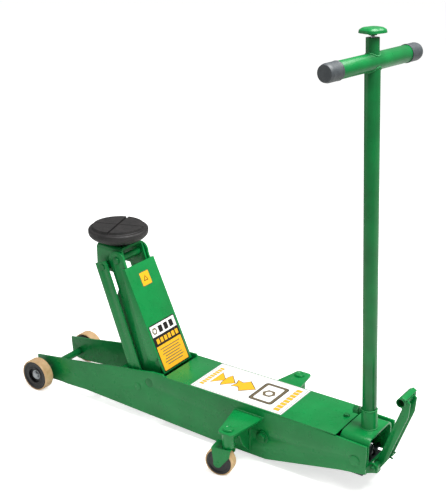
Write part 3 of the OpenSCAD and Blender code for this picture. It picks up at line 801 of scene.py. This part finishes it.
class JACK_OT_handle(bpy.types.Operator):
    """The handle yoke, tube, T-bar, grip caps and release knob."""

    bl_idname = "jack.handle"
    bl_label = "Handle"

    def execute(self, context):
        skin("handle_yoke", green_enamel(), 0.6)
        for node in ("handle_tube", "t_bar"):
            skin(node, dark_enamel(), 0.5)
        skin("release_rod", zinc(), 0.3)
        self.caps()
        self.knob(context.scene.jack_sizes.lobes)
        return {"FINISHED"}

    def caps(self):
        """Two moulded caps, closed at the end, with a grip ridge at the open end."""
        bm = bmesh.new()
        for side in (-1, 1):
            place = (ON_HANDLE @ Matrix.Translation((0, 0, TBAR_RISE)) @ turn_by(-TBAR_TURN, "Z")
                     @ turn_by(side * 90, "X"))
            start = GRIP_END - 42
            outline = [(19.0, start), (20.6, start), (20.6, start + 3), (20.0, start + 4), (20.0, 157.0),
                       (18.0, 164.2), (8.0, GRIP_END), (0.0, GRIP_END)]
            inner = [(0.0, 159.0), (19.0, 159.0)]
            profile = rounded(outline[:-1], 1.2, 4, closed=False) + [outline[-1]] + inner
            lathe(bm, place, profile, 64, closed=True)
        piece("grip_caps_moulded", bm, [cap_plastic()], body_of("grip_caps"), ["grip_caps"])

    def knob(self, lobes):
        """A pressed star knob with a drooping rim."""
        place = ON_HANDLE @ Matrix.Translation((0, 0, TBAR_RISE + 54))

        def lobed(angle):
            wave = 0.5 + 0.5 * math.cos(lobes * (angle - math.radians(20)))
            return 0.87 + 0.13 * wave**0.8

        bm = bmesh.new()
        outline = [(0.0, 18.0), (12.0, 17.6), (22.0, 16.2), (28.5, 12.0), (30.0, 5.5), (28.2, 5.3),
                   (26.0, 10.5), (20.0, 13.6), (10.0, 14.0), (9.0, 6.0), (9.0, 0.2),
                   (4.3, 0.2), (4.3, 5.0), (0.0, 5.0)]
        profile = eased(outline, 1.4, 3)
        lathe(bm, place, profile, 96, closed=False, shape=lobed)
        node = "release_knob"
        piece(node + "_pressed", bm, [dark_enamel()], body_of(node), [node], 40)


class JACK_OT_pedal(bpy.types.Operator):
    """The foot pump pedal and its pin."""

    bl_idname = "jack.pedal"
    bl_label = "Foot pedal"

    def execute(self, context):
        for node in ("pedal_lever", "pedal_tread"):
            skin(node, green_enamel(), 0.7)
        skin("pedal_crossbar", dark_enamel(), 0.4)
        skin("pedal_pin", dark_enamel(), 1.2)
        return {"FINISHED"}


class JACK_OT_wheels(bpy.types.Operator):
    """Front wheels and caster wheels: tan tread cast on a dished black hub."""

    bl_idname = "jack.wheels"
    bl_label = "Wheels"

    def execute(self, context):
        for side, name in ((-1, "near"), (1, "far")):
            turned = turn_by(90 if side < 0 else -90, "X")
            place = frame_at(AXLE[0], side * 90, AXLE[1]) @ turned
            self.wheel("front_wheel_" + name, place, 44.0, 30.0, 8.05, 21.0, 9.0)
            middle = on_caster(side) @ Matrix.Translation((-CASTER_TRAIL, side * -13, 36)) @ turned
            self.wheel("caster_wheel_" + name, middle, 36.0, 26.0, 5.05, 12.0, 0.0)
        return {"FINISHED"}

    def wheel(self, node, place, radius, width, bore, socket, recess):
        """One wheel standing on local Z 0, its outer face at width."""
        hub = radius - TYRE_DEPTH
        bm = bmesh.new()
        ring = [(hub, 0.4), (radius - 1.5, 0.0), (radius, 2.0), (radius, width - 2.0),
                (radius - 1.5, width), (hub, width - 0.4)]
        lathe(bm, place, rounded(ring, 1.6, 4), 96, mats=lambda i: 0)
        dish = 3.0
        rim = hub - 4.5
        if recess:
            face = [(bore, width - recess), (socket, width - recess), (socket, width - 1.0),
                    (socket + 3, width - 1.0), (socket + 5, width - dish)]
        else:
            face = [(bore, width - 1.0), (socket, width - 1.0), (socket + 3, width - dish)]
        face += [(rim - 2, width - dish), (rim, width - 0.6), (hub, width - 0.6)]
        back = [(hub, 0.6), (rim, 0.6), (rim - 2, dish), (socket + 3, dish), (socket, 0.6), (bore, 0.6)]
        lathe(bm, place, rounded(face + back, 0.8, 3), 96, mats=lambda i: 1)
        piece(node + "_cast", bm, [tread(), hub_plastic()], body_of(node), [node])


class JACK_OT_casters(bpy.types.Operator):
    """Caster forks with rounded ears."""

    bl_idname = "jack.casters"
    bl_label = "Caster forks"

    def execute(self, context):
        for name in ("near", "far"):
            skin("caster_fork_" + name, green_enamel(), 0.9)
        return {"FINISHED"}


class JACK_OT_fasteners(bpy.types.Operator):
    """Chamfered hexagon heads, washers, nuts and pin heads."""

    bl_idname = "jack.fasteners"
    bl_label = "Fasteners"

    def execute(self, context):
        self.unit_bolts()
        self.axle_nuts()
        self.king_bolts()
        self.rod_bolts()
        self.rest()
        return {"FINISHED"}

    def across_y(self, x, y, z, side):
        """A millimetre frame whose Z points out of the side at that point."""
        return frame_at(x, y, z) @ turn_by(-90 * side, "X")

    def unit_bolts(self):
        bm = bmesh.new()
        for side in (-1, 1):
            place = self.across_y(UNIT_BOLT[0], side * UNIT_BOLT[1], UNIT_BOLT[2], side)
            disc(bm, place, 8.0, -23, 11.6)
            disc(bm, place, 17.0, 0.0, 3.0, 8.0)
            disc(bm, place, 13.0, 3.0, 4.8, 8.0)
            hex_head(bm, place @ Matrix.Translation((0, 0, 4.8)), 22.0, 6.6)
        piece("unit_bolts_dressed", bm, [dark_enamel()], body_of("unit_bolts"), ["unit_bolts"])

    def axle_nuts(self):
        bm = bmesh.new()
        for side in (-1, 1):
            place = self.across_y(AXLE[0], 0, AXLE[1], side)
            disc(bm, place, 13.0, 70.0, 89.6, 8.0)
            disc(bm, place, 13.5, 111.4, 112.6, 8.0, edge=0.3)
            hex_head(bm, place @ Matrix.Translation((0, 0, 112.6)), 19.0, 3.4)
        piece("axle_nuts_dressed", bm, [zinc()], body_of("axle_nuts"), ["axle_nuts"])
        skin("front_axle", zinc(), 0.8)

    def king_bolts(self):
        for side, name in ((-1, "near"), (1, "far")):
            place = on_caster(side)
            node = "caster_bolts_" + name
            bm = bmesh.new()
            disc(bm, place, 7.0, 72.6, 124.4)
            disc(bm, place, 14.0, 124.3, 126.0)
            ring = [(0.0, 126.0), (12.6, 126.0), (12.6, 127.6), (11.2, 128.2), (9.0, 128.2), (7.6, 127.0),
                    (0.0, 127.0)]
            lathe(bm, place, eased(ring, 0.7, 3), 64, closed=False)
            wheel = place @ Matrix.Translation((-CASTER_TRAIL, 0, 36))
            disc(bm, wheel @ turn_by(90, "X"), 5.0, -19.4, 19.4)
            piece(node + "_dressed", bm, [green_enamel()], body_of(node), [node])

    def rod_bolts(self):
        bm = bmesh.new()
        for side in (-1, 1):
            place = self.across_y(TOP_PIVOT[0] + ROD_EYE[0], 0, TOP_PIVOT[1] + ROD_EYE[1], side)
            disc(bm, place, 6.0, 32.0, 64.5)
            disc(bm, place, 10.0, 43.0, 59.7, 6.0)
            hex_head(bm, place @ Matrix.Translation((0, 0, 64.6)), 15.4, 2.0)
        piece("rod_bolts_dressed", bm, [dark_enamel()], body_of("rod_bolts"), ["rod_bolts"])

    def rest(self):
        skin("rod_pivot_bolts", green_enamel(), 1.2)
        skin("yoke_pins", green_enamel(), 1.4)
        skin("clamp_bolt", dark_enamel(), 0.8)
        skin("pedal_bolts", dark_enamel(), 0.6)
        bm = bmesh.new()
        place = frame_at(*COVER_PLUG, 0)
        disc(bm, place, 3.99, 137.0, 146.0)
        disc(bm, place, 8.0, 146.0, 147.2, edge=0.3)
        hex_head(bm, place @ Matrix.Translation((0, 0, 147.2)), 12.0, 3.8)
        node = "cover_screw"
        piece(node + "_dressed", bm, [dark_enamel()], body_of(node), [node])


class JACK_OT_welds(bpy.types.Operator):
    """Painted weld beads, laid with geometry nodes."""

    bl_idname = "jack.welds"
    bl_label = "Weld beads"

    def execute(self, context):
        width = context.scene.jack_sizes.weld / MM
        chassis = []
        for side in (-1, 1):
            y = side * 75.6
            chassis.append(([at(x, y, 124.3) for x in range(687, 769, 3)], False))
            chassis.append(([at(731.8, y, z) for z in range(26, 117, 3)], False))
        chassis.append((circle_path(frame_at(552, 0, 60) @ turn_by(90, "Y"), 28.0), True))
        for x in (751.5, 782.5):
            ring = circle_path(frame_at(x, 0, 60) @ turn_by(90, "Y"), 41.0)
            chassis.append((ring, True))
        beads("weld_chassis", chassis, "chassis", width)
        handle = [(circle_path(ON_HANDLE @ Matrix.Translation((0, 0, 52.6)), 19.6), True)]
        handle.append((circle_path(ON_HANDLE @ Matrix.Translation((0, 0, 99.0)), 17.8), True))
        for low, radius in ((True, 17.2), (False, 14.7)):
            ring = []
            for k in range(60):
                a = 2 * math.pi * k / 60
                x, y = radius * math.cos(a), radius * math.sin(a)
                turn = math.radians(-TBAR_TURN)
                across = x * math.cos(turn) + y * math.sin(turn)
                lift = math.sqrt(max(19.4**2 - across**2, 0.0))
                ring.append(ON_HANDLE @ Vector((x, y, TBAR_RISE + (-lift if low else lift))))
            handle.append((ring, True))
        beads("weld_handle", handle, "handle", width * 0.75)
        arm = []
        for side in (-1, 1):
            hub = ON_ARM @ Matrix.Translation((0, side * 51.6, 0)) @ turn_by(90, "X")
            arm.append((circle_path(hub, 20.4), True))
        beads("weld_arm", arm, "lift_arm", width)
        pedal = [([ON_PEDAL @ Vector((-12 + 11.6 * math.cos(a), side * 19.6, 185 + 11.6 * math.sin(a)))
                   for a in [math.radians(-150 + 10 * k) for k in range(26)]], False) for side in (-1, 1)]
        beads("weld_pedal", pedal, "pedal", width * 0.6)
        return {"FINISHED"}


class JACK_OT_labels(bpy.types.Operator):
    """The printed labels: plain arrows, bands and rules, with no lettering."""

    bl_idname = "jack.labels"
    bl_label = "Labels"

    def execute(self, context):
        looks = context.scene.jack_colours
        inks = (("white", "#f4f4f0"), ("black", "#16130f"), ("gold", looks.gold), ("grey", "#8d8b90"),
                ("brown", "#6d5f45"))
        self.inks = [print_film("Printed film, " + name, ink) for name, ink in inks]
        self.cover()
        self.arm()
        return {"FINISHED"}

    def shape(self, bm, place, outline, lift, ink):
        """One printed shape, a hair above the one below it."""
        face = bm.faces.new([bm.verts.new(place @ Vector((x, y, lift))) for x, y in outline])
        face.material_index = ink
        want = (place.to_3x3() @ Vector((0, 0, 1))).normalized()
        face.normal_update()
        if face.normal.dot(want) < 0:
            face.normal_flip()

    def outlined(self, bm, place, outline, lift, ink, border, grow):
        """A shape with a dark outline round it."""
        middle = sum((Vector(p) for p in outline), Vector((0, 0))) / len(outline)
        wide = []
        for p in outline:
            away = Vector(p) - middle
            wide.append(tuple(Vector(p) + away.normalized() * grow))
        self.shape(bm, place, wide, lift, border)
        self.shape(bm, place, outline, lift + 0.03, ink)

    def box(self, x0, y0, x1, y1):
        return [(x0, y0), (x1, y0), (x1, y1), (x0, y1)]

    def save(self, name, bm, node, slot):
        """Labels keep the side they were given, so their normals aren't worked out again."""
        mesh = bpy.data.meshes.new(name)
        bm.to_mesh(mesh)
        bm.free()
        for ink in self.inks:
            mesh.materials.append(ink)
        keep(name, mesh, body_of(node), [node])

    def cover(self):
        place = frame_at(549, 0, COVER_TOP)
        bm = bmesh.new()
        prism(bm, place, self.box(0, -72, 267, 72), 0.02, 0.3, 0)
        bmesh.ops.recalc_face_normals(bm, faces=bm.faces)
        for lift, inset, ink in ((0.33, 0.0, 3), (0.36, 1.4, 0), (0.39, 4.6, 1), (0.42, 5.8, 0)):
            self.shape(bm, place, self.box(inset, -72 + inset, 267 - inset, 72 - inset), lift, ink)
        for k in range(9):
            v = -50 + 11.4 * k
            self.outlined(bm, place, self.box(13, v, 24, v + 7.6), 0.45, 2, 4, 1.2)
        for k in range(8):
            v = -59 + 15.2 * k
            self.outlined(bm, place, self.box(237, v, 251, v + 11.0), 0.45, 2, 4, 1.4)
        arrows = ([(32, -29), (32, 29), (58, 0)], [(57, -13), (62, -28), (87, 0), (62, 28), (57, 13)],
                  [(88, -17), (105, -11), (117, -28), (148, 0), (117, 28), (105, 11), (88, 17), (94, 0)])
        for n, outline in enumerate(arrows):
            self.outlined(bm, place, outline, 0.45 + 0.09 * n, 2, 1, 2.6)
        for grow, ink, lift in ((0.0, 1, 0.45), (2.6, 4, 0.48), (8.0, 1, 0.51), (9.6, 0, 0.54)):
            ring = rounded(self.box(154 + grow, -46 + grow, 222 - grow, 48 - grow), 10 - grow * 0.5, 6)
            self.shape(bm, place, ring, lift, ink)
        self.shape(bm, place, polygon_outline(188, 1, 18, 6), 0.57, 4)
        self.shape(bm, place, polygon_outline(188, 1, 9, 24), 0.6, 0)
        self.save("cover_label_print", bm, "cover_label", "cover_decal")

    def arm(self):
        # local X across the web, local Y up it, local Z out of it
        place = ON_WEB @ Matrix(((0, 0, 1, 0), (1, 0, 0, 0), (0, 1, 0, 0), (0, 0, 0, 1)))
        bm = bmesh.new()
        plate = rounded(self.box(-55, 13, 51, 139), 5.0, 5)
        prism(bm, place, plate, 0.02, 0.3, 1)
        prism(bm, place, rounded(self.box(-18, 237, 20, 275), 3.0, 4), 0.02, 0.3, 4)
        bmesh.ops.recalc_face_normals(bm, faces=bm.faces)
        self.shape(bm, place, self.box(-52, 107, 48, 136), 0.33, 0)
        self.shape(bm, place, rounded(self.box(-52, 16, 48, 81), 3.0, 4), 0.33, 2)
        self.shape(bm, place, polygon_outline(-38, 121, 10, 6), 0.36, 4)
        self.shape(bm, place, polygon_outline(-38, 121, 5, 24), 0.39, 0)
        for x0, x1, y0, y1 in ((-22, -6, 112, 130), (0, 16, 112, 130), (22, 38, 112, 130)):
            self.shape(bm, place, self.box(x0, y0, x1, y1), 0.36, 1)
        for k in range(6):
            self.shape(bm, place, self.box(-44 + 15.5 * k, 87, -33 + 15.5 * k, 100), 0.33, 2)
        for k in range(7):
            inset = 4 + (k * 7) % 11
            self.shape(bm, place, self.box(-46 + inset, 70 - 7.2 * k, 42 - inset, 72.4 - 7.2 * k), 0.36, 4)
        self.shape(bm, place, rounded(self.box(-16.5, 238.5, 18.5, 273.5), 2.4, 4), 0.33, 2)
        self.shape(bm, place, [(-8, 250), (10, 250), (1, 265)], 0.36, 1)
        self.shape(bm, place, [(-4.5, 252), (6.5, 252), (1, 261.5)], 0.39, 2)
        self.save("arm_labels_print", bm, "arm_labels", "warning_decal")


class JACK_OT_stage(bpy.types.Operator):
    """Pale floor, soft studio light and the camera."""

    bl_idname = "jack.stage"
    bl_label = "Stage"

    def execute(self, context):
        scene = context.scene
        stage = scene.jack_stage
        self.floor(context)
        world = bpy.data.worlds.new("White room")
        world.use_nodes = True
        back = world.node_tree.nodes["Background"]
        back.inputs["Color"].default_value = (1.0, 1.0, 1.0, 1.0)
        back.inputs["Strength"].default_value = stage.world
        # the camera sees the room as plain white, whatever its strength as a light
        tree = world.node_tree
        bright = add(tree, "ShaderNodeBackground", Color=(1.0, 1.0, 1.0, 1.0), Strength=1.0)
        path = add(tree, "ShaderNodeLightPath")
        mix = add(tree, "ShaderNodeMixShader")
        tree.links.new(path.outputs["Is Camera Ray"], mix.inputs[0])
        tree.links.new(back.outputs[0], mix.inputs[1])
        tree.links.new(bright.outputs[0], mix.inputs[2])
        tree.links.new(mix.outputs[0], tree.nodes["World Output"].inputs["Surface"])
        scene.world = world
        self.light(context, "Top softbox", *TOP_SOFTBOX, stage.key)
        self.light(context, "Front fill", *FRONT_FILL, stage.fill)
        scene.view_settings.view_transform = "Standard"
        camera_data = bpy.data.cameras.new("Camera")
        camera_data.sensor_fit = "VERTICAL"
        camera_data.sensor_height = 36.0
        camera_data.lens = CAMERA_LENS
        camera_data.shift_y = CAMERA_SHIFT
        camera_data.clip_end = 30.0
        camera = bpy.data.objects.new("Camera", camera_data)
        camera.location = at(*CAMERA_AT)
        camera.rotation_euler = Vector(CAMERA_LOOK).to_track_quat("-Z", "Y").to_euler()
        scene.collection.objects.link(camera)
        scene.camera = camera
        return {"FINISHED"}

    def floor(self, context):
        mesh = bpy.data.meshes.new("floor")
        half = FLOOR_HALF
        corners = [(-half, -half, 0), (half, -half, 0), (half, half, 0), (-half, half, 0)]
        mesh.from_pydata(corners, [], [(0, 1, 2, 3)])
        mat, tree, shader, coords = blank("Pale studio floor")
        # nearly white paper, so that the floor meets the white room without a line
        shader.inputs["Base Color"].default_value = linear("#f6f6f4")
        shader.inputs["Roughness"].default_value = 0.9
        # a glow that only the camera sees keeps the paper white without lighting the jack from below
        shader.inputs["Emission Color"].default_value = linear("#ffffff")
        path = add(tree, "ShaderNodeLightPath")
        glow = add(tree, "ShaderNodeMath", operation="MULTIPLY")
        glow.inputs[1].default_value = FLOOR_GLOW
        tree.links.new(path.outputs["Is Camera Ray"], glow.inputs[0])
        tree.links.new(glow.outputs[0], shader.inputs["Emission Strength"])
        mesh.materials.append(mat)
        floor = bpy.data.objects.new("floor", mesh)
        context.scene.collection.objects.link(floor)

    def light(self, context, name, place, aim, size, power):
        data = bpy.data.lights.new(name, "AREA")
        data.shape = "DISK"
        data.size = size
        data.energy = power
        lamp = bpy.data.objects.new(name, data)
        lamp.location = place
        lamp.rotation_euler = (Vector(aim) - Vector(place)).to_track_quat("-Z", "Y").to_euler()
        context.scene.collection.objects.link(lamp)


class JACK_PT_looks(bpy.types.Panel):
    """Lists the pieces in the sidebar."""

    bl_label = "Trolley Jack"
    bl_idname = "JACK_PT_looks"
    bl_space_type = "VIEW_3D"
    bl_region_type = "UI"
    bl_category = "Jack"

    def draw(self, context):
        for operator in OPERATORS:
            self.layout.operator(operator.bl_idname)
        for owner in (context.scene.jack_colours, context.scene.jack_sizes, context.scene.jack_stage):
            for key in owner.__annotations__:
                self.layout.prop(owner, key)


OPERATORS = (JACK_OT_chassis, JACK_OT_hydraulics, JACK_OT_springs, JACK_OT_arm, JACK_OT_saddle,
             JACK_OT_handle, JACK_OT_pedal, JACK_OT_wheels, JACK_OT_casters, JACK_OT_fasteners,
             JACK_OT_welds, JACK_OT_labels, JACK_OT_stage)
CLASSES = (JackColours, JackSizes, JackStage) + OPERATORS + (JACK_PT_looks,)


def register():
    for cls in CLASSES:
        bpy.utils.register_class(cls)
    bpy.types.Scene.jack_colours = bpy.props.PointerProperty(type=JackColours)
    bpy.types.Scene.jack_sizes = bpy.props.PointerProperty(type=JackSizes)
    bpy.types.Scene.jack_stage = bpy.props.PointerProperty(type=JackStage)


def unregister():
    del bpy.types.Scene.jack_colours
    del bpy.types.Scene.jack_sizes
    del bpy.types.Scene.jack_stage
    for cls in reversed(CLASSES):
        bpy.utils.unregister_class(cls)


def main():
    register()
    bpy.ops.jack.chassis()
    bpy.ops.jack.hydraulics()
    bpy.ops.jack.springs()
    bpy.ops.jack.arm()
    bpy.ops.jack.saddle()
    bpy.ops.jack.handle()
    bpy.ops.jack.pedal()
    bpy.ops.jack.wheels()
    bpy.ops.jack.casters()
    bpy.ops.jack.fasteners()
    bpy.ops.jack.welds()
    bpy.ops.jack.labels()
    bpy.ops.jack.stage()


if __name__ == "__main__":
    main()
